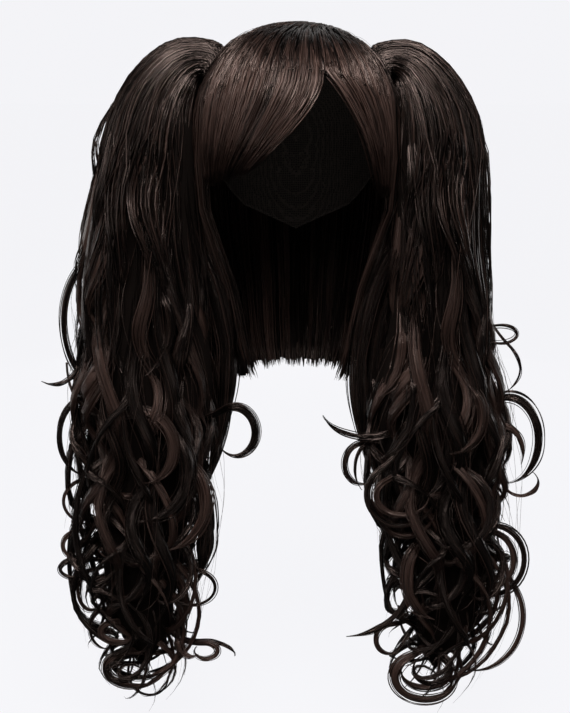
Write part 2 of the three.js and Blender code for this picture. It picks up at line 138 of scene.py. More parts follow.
def principled(name):
    """A new material, its nodes and links, and its Principled shader."""
    material = bpy.data.materials.new(name)
    material.use_nodes = True
    nodes, links = material.node_tree.nodes, material.node_tree.links
    return material, nodes, links, nodes["Principled BSDF"]


def cap_material():
    """Dark stretch net, matt: a fine mesh of threads in colour and relief."""
    material, nodes, links, shader = principled("cap_net")
    shader.inputs["Specular IOR Level"].default_value = 0.2
    coords = nodes.new("ShaderNodeTexCoord")
    mesh_cells = nodes.new("ShaderNodeTexVoronoi")
    mesh_cells.feature = "DISTANCE_TO_EDGE"
    mesh_cells.inputs["Scale"].default_value = 520
    mesh_cells.inputs["Randomness"].default_value = 0.35
    links.new(coords.outputs["Object"], mesh_cells.inputs["Vector"])
    threads = nodes.new("ShaderNodeValToRGB")
    threads.color_ramp.elements[0].color = (0.110, 0.090, 0.078, 1)
    threads.color_ramp.elements[1].color = (0.020, 0.017, 0.015, 1)
    threads.color_ramp.elements[1].position = 0.25
    links.new(mesh_cells.outputs["Distance"], threads.inputs["Fac"])
    links.new(threads.outputs["Color"], shader.inputs["Base Color"])
    shader.inputs["Roughness"].default_value = 0.8
    bump = nodes.new("ShaderNodeBump")
    bump.inputs["Strength"].default_value = 0.6
    bump.inputs["Distance"].default_value = 0.0004
    bump.invert = True
    links.new(mesh_cells.outputs["Distance"], bump.inputs["Height"])
    links.new(bump.outputs["Normal"], shader.inputs["Normal"])
    return material


cap_sheet = mapped_sheet(CAP_COLUMNS, CAP_ROWS, cap_place)
closed_shell(cap_sheet, CAP_WALL)
add_piece("cap_net", mesh_of(cap_sheet, "cap_net"), cap_material(), "cap")

# Crown hair
# Straight fibre combed out from a whorl a little off the middle of the head. It is sewn to the cap in rows
# and lies in two layers: a ground of packed fibre and the loose strands over it. The ground is near black
# and matt: painted shade under and between the strands.
rng = np.random.default_rng(7)
HAIR_INSIDE = np.array([2.7, 2.7, 2.7])
HAIR_OUTSIDE = np.array([8.0, 10.0, 11.0])
WHORL_X, WHORL_Y = 15.0, 8.0
EDGE_FRONT, EDGE_SIDE, EDGE_BACK = 58.0, 22.0, 5.0
STRAND_COLUMNS, STRAND_COLUMN_SHARE, UV_MARGIN = 64, 0.35, 0.01
STRAND_DEPTH, STRAND_SPREAD = 0.9, (0.75, 1.2)
STRAND_SECTION = np.array([(-1.0, 0.0), (0.0, 1.0), (1.0, 0.0)])
CROWN_REACH, CROWN_DROP = 0.995, 90
ROOT_LIFT, ROOT_RISE, TIP_THINNING, ROLL_START = 0.55, 2.5, 0.45, 0.8


def crown_edge(turn):
    """Height round the head at which the crown hair passes into the hanging panels."""
    middle = (EDGE_FRONT + 2 * EDGE_SIDE + EDGE_BACK) / 4
    tilt = (EDGE_FRONT - EDGE_BACK) / 2
    wave = (EDGE_FRONT - 2 * EDGE_SIDE + EDGE_BACK) / 4
    return middle + tilt * np.cos(np.radians(turn)) + wave * np.cos(np.radians(2 * turn))


def hair_layer(share):
    """The layer at a share of the hair's full thickness."""
    return HAIR_INSIDE + np.asarray(share)[..., None] * (HAIR_OUTSIDE - HAIR_INSIDE)


def crown_point(layer, turn, share):
    """Point of the crown a share of the way from the whorl to the crown's edge."""
    top = HEIGHT + layer[..., 2]
    z = top * np.cos(share * np.arccos(crown_edge(turn) / top))
    point = layer_point(layer, turn, z)
    shift = (1 - share) * (1 - dome_share(layer, z))
    point[..., 0] += WHORL_X * shift
    point[..., 1] += WHORL_Y * shift
    across = point[..., 0] / (HALF_WIDTH + layer[..., 0])
    along = point[..., 1] / (HALF_DEPTH + layer[..., 1])
    girth = np.clip(np.hypot(across, along), 0, 1)
    point[..., 2] = np.where(z >= 0, top * (1 - girth ** SQUARENESS) ** (1 / SQUARENESS), z)
    return point


def unit(vectors):
    """Vectors brought to a length of 1."""
    return vectors / np.maximum(np.linalg.norm(vectors, axis=-1, keepdims=True), 1e-9)


def smooth(low, high, at):
    """A soft step, from 0 at low to 1 at high."""
    t = np.clip((at - low) / (high - low), 0, 1)
    return t * t * (3 - 2 * t)


def head_normal(points):
    """Direction away from the head at points of the head hair."""
    half_width, middle_y, half_depth = drape_size(points[..., 2])
    rise = np.where(points[..., 2] > 0, points[..., 2] / HEIGHT ** 2, 0)
    normal = np.stack(
        [points[..., 0] / half_width ** 2, (points[..., 1] - middle_y) / half_depth ** 2, rise], axis=-1
    )
    return unit(normal)


def tube_mesh(name, paths, normals, widths, depths, section, columns):
    """Closed tubes, one for each path. section gives their corners as shares across and outwards, columns
    the UV columns of the corners."""
    count, steps = paths.shape[:2]
    corners = len(section)
    along = unit(np.gradient(paths, axis=1))
    normals = unit(normals - along * np.sum(normals * along, axis=-1, keepdims=True))
    across = np.cross(along, normals) * widths[..., None] / 2
    outwards = normals * depths[..., None] / 2
    ring = np.stack([paths + across * share[0] + outwards * share[1] for share in section], axis=2)
    corner = np.arange(count * steps * corners).reshape(count, steps, corners)
    near, far = corner[:, :-1], corner[:, 1:]
    sides = np.stack([near, np.roll(near, -1, 2), np.roll(far, -1, 2), far], axis=-1).reshape(-1, 4)
    ends = np.concatenate([corner[:, 0, ::-1], corner[:, -1, :]])
    loops = np.concatenate([sides.ravel(), ends.ravel()])
    starts = np.concatenate([np.arange(len(sides)) * 4, len(sides) * 4 + np.arange(len(ends)) * corners])
    mesh = bpy.data.meshes.new(name)
    mesh.vertices.add(corner.size)
    mesh.vertices.foreach_set("co", (ring * MM).astype(np.float32).ravel())
    mesh.loops.add(len(loops))
    mesh.loops.foreach_set("vertex_index", loops.astype(np.int32))
    mesh.polygons.add(len(starts))
    mesh.polygons.foreach_set("loop_start", starts.astype(np.int32))
    u = np.clip((columns[:, None, :] + 0.5) / STRAND_COLUMNS, UV_MARGIN, 1 - UV_MARGIN)
    v = np.linspace(UV_MARGIN, 1 - UV_MARGIN, steps)[None, :, None]
    uv = np.stack(np.broadcast_arrays(u, v), axis=-1).reshape(-1, 2)
    mesh.uv_layers.new(name="OFBake").data.foreach_set("uv", uv[loops].astype(np.float32).ravel())
    mesh.update(calc_edges=True)
    mesh.validate()
    return mesh


def strand_mesh(name, paths, normals, widths, tones):
    """Three-sided strands, ridge outwards. tones picks a strand's column of the UV."""
    columns = tones[:, None] + STRAND_COLUMN_SHARE * STRAND_SECTION[:, 0]
    return tube_mesh(name, paths, normals, widths, STRAND_DEPTH * widths, STRAND_SECTION, columns)


TONE_INPUTS = {"UV": "Vector", "Dark": "Color", "Light": "Color", "Streaks": "Float", "Rank": "Float"}
TONE_OUTPUTS = {"Colour": "Color", "Roughness": "Float", "Height": "Float"}
RANGE_SOCKETS = ("From Min", "From Max", "To Min", "To Max")
STREAK_RANGE = (0.6, 1.4, -0.72, 0.44)
ROOT_SHADE_RANGE = (0.05, 0.40, 0.3, 1.0)
ROUGHNESS_RANGE = (0.0, 1.0, 0.27, 0.40)
STREAK_LENGTH, STREAK_DETAIL, FINER_HAIRS = 3.0, 3.0, (5.0, 1.0, 1.0)


def fibre_tone_group():
    """Colour, roughness and relief of combed fibre: fine streaks along v that differ from one u to the next,
    darker towards the roots, a painted shade where the roots lie under the hair over them."""
    group = bpy.data.node_groups.new("fibre_tone", "ShaderNodeTree")
    for in_out, sockets in (("INPUT", TONE_INPUTS), ("OUTPUT", TONE_OUTPUTS)):
        for name, kind in sockets.items():
            group.interface.new_socket(name, in_out=in_out, socket_type="NodeSocket" + kind)
    nodes, links = group.nodes, group.links
    given, out = nodes.new("NodeGroupInput"), nodes.new("NodeGroupOutput")

    def joined(operation, first, second):
        """A Math node that joins a socket with another socket or with a number."""
        node = nodes.new("ShaderNodeMath")
        node.operation = operation
        links.new(first, node.inputs[0])
        if isinstance(second, float):
            node.inputs[1].default_value = second
        else:
            links.new(second, node.inputs[1])
        return node

    def ranged(value, limits):
        """A Map Range node with its four limits."""
        node = nodes.new("ShaderNodeMapRange")
        for socket, limit in zip(RANGE_SOCKETS, limits):
            node.inputs[socket].default_value = limit
        links.new(value, node.inputs["Value"])
        return node

    parts = nodes.new("ShaderNodeSeparateXYZ")
    links.new(given.outputs["UV"], parts.inputs[0])
    across = joined("MULTIPLY", parts.outputs["X"], given.outputs["Streaks"])
    along = joined("MULTIPLY", parts.outputs["Y"], STREAK_LENGTH)
    place = nodes.new("ShaderNodeCombineXYZ")
    links.new(across.outputs[0], place.inputs["X"])
    links.new(along.outputs[0], place.inputs["Y"])
    streak = nodes.new("ShaderNodeTexNoise")
    streak.inputs["Scale"].default_value = 1.0
    streak.inputs["Detail"].default_value = STREAK_DETAIL
    links.new(place.outputs[0], streak.inputs["Vector"])
    finer = nodes.new("ShaderNodeVectorMath")
    finer.operation = "MULTIPLY"
    finer.inputs[1].default_value = FINER_HAIRS
    links.new(place.outputs[0], finer.inputs[0])
    hairs = nodes.new("ShaderNodeTexNoise")
    hairs.inputs["Scale"].default_value = 1.0
    links.new(finer.outputs[0], hairs.inputs["Vector"])
    both = joined("ADD", streak.outputs["Fac"], hairs.outputs["Fac"])
    spread = ranged(both.outputs[0], STREAK_RANGE)
    spread.clamp = False
    # Painted shade: the lightness falls off towards the roots, at the start of v.
    root = ranged(parts.outputs["Y"], ROOT_SHADE_RANGE)
    root.interpolation_type = "SMOOTHSTEP"
    root_shaded_rank = joined("MULTIPLY", given.outputs["Rank"], root.outputs["Result"])
    lightness = joined("ADD", spread.outputs["Result"], root_shaded_rank.outputs[0])
    lightness.use_clamp = True
    mix = nodes.new("ShaderNodeMix")
    mix.data_type = "RGBA"
    links.new(lightness.outputs[0], mix.inputs["Factor"])
    links.new(given.outputs["Dark"], mix.inputs["A"])
    links.new(given.outputs["Light"], mix.inputs["B"])
    links.new(mix.outputs["Result"], out.inputs["Colour"])
    rough = ranged(lightness.outputs[0], ROUGHNESS_RANGE)
    links.new(rough.outputs["Result"], out.inputs["Roughness"])
    links.new(both.outputs[0], out.inputs["Height"])
    return group


FIBRE_TONE = fibre_tone_group()
GLOSS_TINT, GROUND_ROUGHNESS, FIBRE_RELIEF = (1.0, 0.74, 0.65, 1), 0.9, 0.0010
BLACK_BROWN, WARM_BROWN = (0.0005, 0.0004, 0.0004, 1), (0.038, 0.0207, 0.0163, 1)
# The packed fibre is far darker than the strands: painted shade under and between them.
SHADED_PACKED_BLACK, SHADED_PACKED_BROWN = (0.0010, 0.0008, 0.0007, 1), (0.005, 0.003, 0.0025, 1)


def fibre_material(name, dark, light, streaks, gloss, rank=None):
    """Dark brown synthetic fibre with a warm satin gloss. Where no rank is given, u is the lightness of a
    strand, and otherwise the fibre is matt and of one lightness."""
    material, nodes, links, shader = principled(name)
    shader.inputs["Specular IOR Level"].default_value = gloss
    shader.inputs["Specular Tint"].default_value = GLOSS_TINT
    uv = nodes.new("ShaderNodeUVMap")
    uv.uv_map = "OFBake"
    tone = nodes.new("ShaderNodeGroup")
    tone.node_tree = FIBRE_TONE
    tone.inputs["Dark"].default_value = dark
    tone.inputs["Light"].default_value = light
    tone.inputs["Streaks"].default_value = streaks
    links.new(uv.outputs["UV"], tone.inputs["UV"])
    if rank is None:
        column = nodes.new("ShaderNodeSeparateXYZ")
        links.new(uv.outputs["UV"], column.inputs[0])
        links.new(column.outputs["X"], tone.inputs["Rank"])
        links.new(tone.outputs["Roughness"], shader.inputs["Roughness"])
    else:
        tone.inputs["Rank"].default_value = rank
        shader.inputs["Roughness"].default_value = GROUND_ROUGHNESS
    links.new(tone.outputs["Colour"], shader.inputs["Base Color"])
    bump = nodes.new("ShaderNodeBump")
    bump.inputs["Strength"].default_value = 1.0
    bump.inputs["Distance"].default_value = FIBRE_RELIEF
    links.new(tone.outputs["Height"], bump.inputs["Height"])
    links.new(bump.outputs["Normal"], shader.inputs["Normal"])
    return material


STRANDS = fibre_material("brown_fibre", BLACK_BROWN, WARM_BROWN, streaks=64.0, gloss=0.5)
GROUND = fibre_material("shaded_packed_fibre", SHADED_PACKED_BLACK, SHADED_PACKED_BROWN, streaks=260.0, gloss=0.1, rank=0.3)


def ranks(middle, spread, count):
    """Lightness of a number of strands, as columns of the strands' UV."""
    return np.clip(rng.normal(middle, spread, count), 0, STRAND_COLUMNS - 1).astype(int)


def tapered(count, steps, width, tip):
    """Strand widths: thin at the root, full in the middle, down to a share of it at the tip."""
    at = np.linspace(0, 1, steps)
    shape = np.minimum(1, 0.5 + 4 * at) * (1 - (1 - tip) * at ** 6)
    return width * shape[None, :] * rng.uniform(*STRAND_SPREAD, (count, 1))


def combed(sheet, u, start, finish, lift, steps, roll=0.0, crowd=1.0):
    """Paths of strands from the crown into a panel: start is the share of the crown, finish that of the
    panel, roll how far the ends turn in, crowd how much closer the steps lie towards the tips."""
    crown_steps = steps // 2
    ramp = np.linspace(0, 1, crown_steps)
    share = start[:, None] + (CROWN_REACH - start[:, None]) * ramp
    top_turn = sheet(u, np.zeros_like(u))[0]
    rise = np.minimum(1, ROOT_LIFT + ROOT_RISE * ramp)[None, :]
    over_crown = crown_point(hair_layer(lift[:, None] * rise), top_turn[:, None], share)
    fall = 1 - (1 - np.linspace(0, 1, steps - crown_steps + 1)[1:]) ** crowd
    v = finish[:, None] * fall
    turn, z = sheet(np.repeat(u[:, None], v.shape[1], 1), v)
    thin = 1 - TIP_THINNING * v ** 3
    turned_in = roll * np.clip((v - ROLL_START) / (1 - ROLL_START), 0, 1) ** 2
    down_panel = layer_point(hair_layer(lift[:, None] * thin) - turned_in[..., None], turn, z)
    return np.concatenate([over_crown, down_panel], axis=1)


def wavering(paths, size):
    """Small slow sideways wander of each strand, none at its root."""
    count, steps = paths.shape[:2]
    at = np.linspace(0, 1, steps)
    wander = np.zeros_like(paths)
    for waves in (1.1, 2.3, 4.1):
        phase = rng.uniform(0, 2 * math.pi, (count, 1, 3))
        reach = rng.normal(0, size / waves, (count, 1, 3))
        wander += reach * np.sin(2 * math.pi * waves * at[None, :, None] + phase)
    return paths + wander * np.minimum(1, 3 * at)[None, :, None]


def crown_sheet(u, v):
    """All round the head: u is the turn, v the way down the panels from the crown's edge."""
    turn = 360 * u - 180
    return turn, crown_edge(turn) - CROWN_DROP * v


GROUND_COLUMNS, CROWN_GROUND_ROWS, CROWN_GROUND_WALL = 48, 14, 1.5
CROWN_GROUND_SHARE, WHORL_GROUND_SHARE = 0.45, 0.35


def crown_ground(u, v):
    """The packed fibre of the crown, thicker round the whorl, where the strands rise out of it."""
    share = CROWN_GROUND_SHARE + WHORL_GROUND_SHARE * smooth(0.35, 0.05, v)
    return crown_point(hair_layer(share), 360 * u - 180, np.minimum(v, 0.999))


ground = mapped_sheet(GROUND_COLUMNS, CROWN_GROUND_ROWS, crown_ground)
closed_shell(ground, CROWN_GROUND_WALL)
add_piece("crown_ground", mesh_of(ground, "crown_ground"), GROUND, "crown_hair")

# Where the fringe covers the front, the crown's strands end at the edge. They are darker over the front and
# lighter towards the sides: painted shade and painted light, after how the light falls on the crown.
CROWN_STRANDS, CROWN_STEPS, CROWN_WIDTH, CROWN_TIP, CROWN_WANDER = 700, 13, 1.5, 0.2, 0.5
CROWN_START, CROWN_FINISH, FRONT_HALF, FRONT_FINISH = (0.04, 0.6), (0.1, 0.55), 0.2, 0.06
CROWN_LIFT, RIDGE_LIFT, RIDGES, LIFT_SPREAD = 0.82, 0.12, 41, (-0.1, 0.1)
FRONT_SHADE_TONE, SIDE_LIGHT_RISE, SIDE_LIGHT_TURN, CROWN_TONE_SPREAD = 10, 24, (15, 50), 10
u = (np.arange(CROWN_STRANDS) + rng.uniform(0, 1, CROWN_STRANDS)) / CROWN_STRANDS
start = rng.uniform(*CROWN_START, CROWN_STRANDS)
finish = rng.uniform(*CROWN_FINISH, CROWN_STRANDS) * np.where(np.abs(u - 0.5) < FRONT_HALF, FRONT_FINISH, 1)
lift = CROWN_LIFT + RIDGE_LIFT * np.sin(2 * math.pi * RIDGES * u) + rng.uniform(*LIFT_SPREAD, CROWN_STRANDS)
paths = wavering(combed(crown_sheet, u, start, finish, lift, CROWN_STEPS), CROWN_WANDER)
widths = tapered(CROWN_STRANDS, CROWN_STEPS, CROWN_WIDTH, CROWN_TIP)
# Painted shade over the front of the crown, painted light towards its sides.
tone = FRONT_SHADE_TONE + SIDE_LIGHT_RISE * smooth(*SIDE_LIGHT_TURN, np.abs(360 * u - 180))
tones = ranks(tone, CROWN_TONE_SPREAD, CROWN_STRANDS)
crown = strand_mesh("crown_strands", paths, head_normal(paths), widths, tones)
add_piece("crown_strands", crown, STRANDS, "crown_hair")

# Short strands swirl out of the whorl's middle and dip under the others.
WHORL_STRANDS, WHORL_STEPS, WHORL_START, WHORL_END = 180, 9, (0.0, 0.13), (0.36, 0.52)
WHORL_ROOT, WHORL_LIFT, WHORL_DIP, WHORL_SWIRL, WHORL_WIDTH = 0.74, (0.86, 0.97), 0.3, 45, 1.5
WHORL_TONE, WHORL_TONE_SPREAD = 24, 14
whorl_rng = np.random.default_rng(11)
at = np.linspace(0, 1, WHORL_STEPS)[None, :]
start = whorl_rng.uniform(*WHORL_START, (WHORL_STRANDS, 1))
share = start + (whorl_rng.uniform(*WHORL_END, (WHORL_STRANDS, 1)) - start) * at
place = np.arange(WHORL_STRANDS)[:, None] + whorl_rng.uniform(0, 1, (WHORL_STRANDS, 1))
turn = 360 * place / WHORL_STRANDS - 180
turn = turn + WHORL_SWIRL * (1 - smooth(0, WHORL_END[0], share))
lift = whorl_rng.uniform(*WHORL_LIFT, (WHORL_STRANDS, 1)) - WHORL_DIP * smooth(0.5, 1, at)
lift = WHORL_ROOT + (lift - WHORL_ROOT) * smooth(0, 0.25, at)
paths = crown_point(hair_layer(lift), turn, share)
spread = whorl_rng.uniform(*STRAND_SPREAD, (WHORL_STRANDS, 1))
widths = WHORL_WIDTH * np.minimum(1, 0.35 + 2.6 * at) * spread
tones = np.clip(whorl_rng.normal(WHORL_TONE, WHORL_TONE_SPREAD, WHORL_STRANDS), 0, STRAND_COLUMNS - 1)
whorl = strand_mesh("crown_whorl", paths, head_normal(paths), widths, tones)
add_piece("crown_whorl", whorl, STRANDS, "crown_hair")

# A few fine hairs stand loose above the others.
FLYAWAYS, FLYAWAY_STEPS, FLYAWAY_WIDTH, FLYAWAY_TONE, FLYAWAY_DRIFT = 46, 28, 0.35, 34, 3
FLYAWAY_START, FLYAWAY_LIFT, FLYAWAY_FINISH, FLYAWAY_FRONT_FINISH = (0.16, 0.5), (1.02, 1.32), 0.1, 0.01
loose_rng = np.random.default_rng(3)
u = loose_rng.uniform(0, 1, FLYAWAYS)
start = loose_rng.uniform(*FLYAWAY_START, FLYAWAYS)
finish = np.where(np.abs(u - 0.5) < FRONT_HALF, FLYAWAY_FRONT_FINISH, FLYAWAY_FINISH)
lift = loose_rng.uniform(*FLYAWAY_LIFT, FLYAWAYS)
paths = combed(crown_sheet, u, start, finish, lift, FLYAWAY_STEPS)
drift = np.linspace(0, 1, FLYAWAY_STEPS)[None, :, None] ** 2
paths = paths + loose_rng.normal(0, FLYAWAY_DRIFT, (FLYAWAYS, 1, 3)) * drift
widths = np.full(paths.shape[:2], FLYAWAY_WIDTH)
tones = np.full(FLYAWAYS, FLYAWAY_TONE)
loose_hair = strand_mesh("crown_flyaways", paths, head_normal(paths), widths, tones)
add_piece("crown_flyaways", loose_hair, STRANDS, "crown_hair")

# Fringe
# The front hair, combed from the parting to both sides of the brow and cut at eye height, with an open gap
# between the two sides. Locks draw together a little towards the tips.
FRINGE_SWEEP = {"top": (-64.6, 15), "tip": (-64.6, -30), "tip_z": (-34, -20), "bend": 1.5}
FRINGE_SIDE = {"top": (16, 64.6), "tip": (52, 64.6), "tip_z": (-38, -42), "bend": 0.8}
# How the hair of a panel lies: length and edge set where its ground ends, inner is the share of its strands
# that lie low, ragged how uneven the tips are, draw how far its clumps close towards the tips, roll how far
# the ends turn in and crowd how close a strand's points lie there.
# The fringe's strands are lighter than the other head hair: painted light, where the light falls broadly on
# the fringe.
FRINGE_HAIR = {
    "length": 0.88, "edge": 0.04, "width": 1.4, "inner": 0.15, "ragged": 0.035, "draw": 0.5, "roll": 0.0,
    "crowd": 1.0, "tone": 54,
}
PANEL_GAP = 0.7
PANEL_STEPS, PANEL_START, PANEL_WANDER, PANEL_TIP = 18, (0.25, 0.97), 0.7, 0.08
PANEL_GROUND_ROWS, PANEL_GROUND_WALL, PANEL_GROUND_SHARE = 16, 1.2, 0.42
PANEL_LIFT, CLUMP_LIFT_SPREAD, STRAND_LIFT, INNER_LIFT = 0.9, 0.07, (-0.22, 0.1), (-0.05, 0.2)
CLUMP_TONE_SPREAD, PANEL_TONE_SPREAD = 13, 12


def between(ends, share):
    """The value a share of the way from one end to the other."""
    return ends[0] + (ends[1] - ends[0]) * share


def fringe_sheet(fringe):
    """The turn and height of one side of the fringe: u runs across it, v from the crown's edge down."""
    def sheet(u, v):
        top_turn = between(fringe["top"], u)
        turn = between((top_turn, between(fringe["tip"], u)), v ** fringe["bend"])
        top_z = crown_edge(top_turn) - PANEL_GAP
        return turn, between((top_z, between(fringe["tip_z"], u)), v)
    return sheet


def panel_ground(sheet, inset, style):
    """The packed fibre under a panel's strands, over a stretch of u, short of the tips and uneven below."""
    def place(u, v):
        uneven = 0.5 + 0.25 * np.sin(43 * u + 1) + 0.25 * np.sin(97 * u)
        turn, z = sheet(between(inset, u), style["length"] * v * (1 - style["edge"] * uneven))
        return layer_point(hair_layer(PANEL_GROUND_SHARE + 0 * u), turn, z)
    return place


def add_panel(name, sheet, style, strands, clumps, inset):
    """A panel of hanging hair: its ground and its strands, gathered into a number of clumps."""
    sheet_mesh = mapped_sheet(GROUND_COLUMNS, PANEL_GROUND_ROWS, panel_ground(sheet, inset, style))
    closed_shell(sheet_mesh, PANEL_GROUND_WALL)
    add_piece(name + "_ground", mesh_of(sheet_mesh, name + "_ground"), GROUND, name)
    even = (np.arange(strands) + rng.uniform(0, 1, strands)) / strands
    clump = np.floor(even * clumps).astype(int)
    centre = (clump + 0.5) / clumps
    start = rng.uniform(*PANEL_START, strands)
    own_ragged = np.abs(rng.normal(0, 1, strands))
    clump_ragged = rng.uniform(0, 1, clumps)[clump]
    finish = 1 - style["ragged"] * (own_ragged + clump_ragged)
    lift = PANEL_LIFT + rng.normal(0, CLUMP_LIFT_SPREAD, clumps)[clump] + rng.uniform(*STRAND_LIFT, strands)
    lift = np.where(rng.uniform(0, 1, strands) < style["inner"], rng.uniform(*INNER_LIFT, strands), lift)

    def gathered(u, v):
        """The panel's sheet, with the strands drawn to the middle of their clump towards the tips."""
        pulled = u + (centre[:, None] - u) * style["draw"] * v ** 1.5 if np.ndim(v) == 2 else u
        return sheet(pulled, v)

    paths = combed(gathered, even, start, finish, lift, PANEL_STEPS, style["roll"], style["crowd"])
    paths = wavering(paths, PANEL_WANDER)
    widths = tapered(strands, PANEL_STEPS, style["width"], PANEL_TIP)
    clump_tones = rng.normal(style["tone"], CLUMP_TONE_SPREAD, clumps)[clump]
    tones = ranks(clump_tones, PANEL_TONE_SPREAD, strands)
    mesh = strand_mesh(name + "_strands", paths, head_normal(paths), widths, tones)
    add_piece(name + "_strands", mesh, STRANDS, name)


sweep, side_fringe = fringe_sheet(FRINGE_SWEEP), fringe_sheet(FRINGE_SIDE)
add_panel("fringe_sweep", sweep, FRINGE_HAIR, strands=560, clumps=34, inset=(0.0, 0.93))
add_panel("fringe_side", side_fringe, FRINGE_HAIR, strands=380, clumps=22, inset=(0.1, 1.0))

# Side hair and back hair
# Straight hair that hugs the cheeks and the neck to a blunt end below the chin, open over the face. It is
# sewn to the lower rows of the cap, and its ends turn in.
SIDE_START_TURN, SIDE_END_TURN, BACK_START_TURN, HAIR_LENGTH_Z = 65.1, 118.0, 118.5, -200.0
HANGING_HAIR = {
    "length": 0.975, "edge": 0.02, "width": 1.8, "inner": 0.42, "ragged": 0.02, "draw": 0.3, "roll": 7.0,
    "crowd": 1.8, "tone": 18,
}
SIDE_FRONT_Z = [-206, -160, -125, -95, -78, -58, 40]
SIDE_FRONT_TURN = [38, 42, 45, 50, 55, SIDE_START_TURN, SIDE_START_TURN]


def side_sheet(side):
    """The turn and height of the hair over a cheek: u runs back from its front edge, v down."""
    def sheet(u, v):
        top_z = crown_edge(SIDE_START_TURN) - PANEL_GAP
        front_turn = np.interp(between((top_z, HAIR_LENGTH_Z), v), SIDE_FRONT_Z, SIDE_FRONT_TURN)
        turn = between((front_turn, SIDE_END_TURN), u)
        start_z = crown_edge(between((SIDE_START_TURN, SIDE_END_TURN), u)) - PANEL_GAP
        return side * turn, between((start_z, HAIR_LENGTH_Z), v)
    return sheet


def back_sheet(u, v):
    """The turn and height of the back hair: u runs round the back of the head, v down."""
    turn = between((BACK_START_TURN, 360 - BACK_START_TURN), u)
    start_z = crown_edge(turn) - PANEL_GAP
    return turn + 0 * v, between((start_z, HAIR_LENGTH_Z), v)


for name, side in (("side_hair_left", -1), ("side_hair_right", 1)):
    add_panel(name, side_sheet(side), HANGING_HAIR, strands=220, clumps=14, inset=(0.06, 1.0))
add_panel("back_hair", back_sheet, HANGING_HAIR, strands=420, clumps=26, inset=(0.0, 1.0))

# Claw clips
# A small spring arch of dark plastic at the root of each tail, which bites into the crown hair. The hair of
# the tail hides it.


def clip_material():
    """Dark moulded plastic with a faint flow mottle."""
    material, nodes, links, shader = principled("clip_plastic")
    coords = nodes.new("ShaderNodeTexCoord")
    mottle = nodes.new("ShaderNodeTexNoise")
    mottle.inputs["Scale"].default_value = 180
    links.new(coords.outputs["Object"], mottle.inputs["Vector"])
    tone = nodes.new("ShaderNodeValToRGB")
    tone.color_ramp.elements[0].color = (0.008, 0.006, 0.005, 1)
    tone.color_ramp.elements[1].color = (0.024, 0.017, 0.013, 1)
    links.new(mottle.outputs["Fac"], tone.inputs["Fac"])
    links.new(tone.outputs["Color"], shader.inputs["Base Color"])
    shader.inputs["Roughness"].default_value = 0.5
    shader.inputs["Specular IOR Level"].default_value = 0.15
    return material


CLIP_PLASTIC = clip_material()
for clip in ("clip_left", "clip_right"):
    clip_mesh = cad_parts[clip].data
    clip_mesh.materials.clear()
    clip_mesh.materials.append(CLIP_PLASTIC)

# Tails
# Two long clip-on tails. The fibre rises from the clip, arches over and falls straight and smooth at first,
# then breaks into locks, ringlets and open rings towards the ends.

# Each row of a tail's table, from the clip down, holds the distance of its middle from the wig's middle
# plane, its height, its half width, its half depth and its place front to back.
TAIL_LEFT = np.array([
    (58, 58, 12, 18, 6), (74, 66, 15, 23, 6), (92, 60, 22, 31, 4), (108, 38, 30, 39, 2), (117, 5, 37, 46, 0),
    (122, -40, 42, 51, -1), (125, -90, 47, 55, -2), (127, -140, 53, 58, -3), (126, -190, 58, 60, -4),
    (127, -240, 60, 61, -5), (130, -290, 62, 60, -6), (131, -340, 62, 58, -6), (132, -390, 57, 53, -7),
    (130, -436, 46, 43, -8), (131, -472, 24, 24, -8),
], float)
TAIL_RIGHT = np.array([
    (58, 58, 12, 18, 6), (73, 65, 14, 22, 6), (89, 60, 20, 30, 4), (104, 38, 28, 38, 2), (113, 5, 35, 45, 0),
    (114, -40, 36, 50, -1), (114, -90, 36, 53, -2), (116, -140, 40, 56, -3), (118, -190, 53, 60, -4),
    (118, -240, 61, 61, -5), (121, -290, 60, 60, -6), (130, -340, 57, 57, -6), (133, -390, 54, 52, -7),
    (121, -438, 44, 42, -8), (116, -474, 24, 24, -8),
], float)
TAIL_CLEARANCE, CLEAR_DOWN_TO = np.array([9.2, 11.2, 12.2]), -215
ROW_STEP, TOP_ROW, OUTSIDE_SHARE = 0.05, 4, 0.35
UP = np.array([0.0, 0.0, 1.0])
BACKWARD = np.array([0.0, 1.0, 0.0])


def through(table, row):
    """Smooth curve through the rows of a table, read at fractional rows."""
    last = len(table) - 1
    row = np.clip(row, 0, last)
    i = np.minimum(np.floor(row).astype(int), last - 1)
    t = (row - i)[..., None]
    before, here = table[np.maximum(i - 1, 0)], table[i]
    there, after = table[i + 1], table[np.minimum(i + 2, last)]
    bend = 2 * before - 5 * here + 4 * there - after
    twist = 3 * here - before - 3 * there + after
    return here + 0.5 * t * (there - before + t * (bend + t * twist))


def tail_section(table, side, row):
    """Middle, direction across, half width and half depth of a tail at fractional rows of its table."""
    def middle_at(at):
        values = through(table, at)
        return np.stack([side * values[..., 0], values[..., 4], values[..., 1]], axis=-1)
    ahead = unit(middle_at(row + ROW_STEP) - middle_at(row - ROW_STEP))
    across = unit(np.cross(BACKWARD, ahead))
    sizes = through(table, row)
    return middle_at(row), across, sizes[..., 2:3], sizes[..., 3:4]


def tail_point(table, side, row, angle, share):
    """Points of a tail at angles round it and shares of the way out, and the directions outwards there."""
    middle, across, half, deep = tail_section(table, side, row)
    outward = across * np.cos(angle)[..., None] * half + BACKWARD * np.sin(angle)[..., None] * deep
    return middle + outward * np.asarray(share)[..., None], unit(outward)


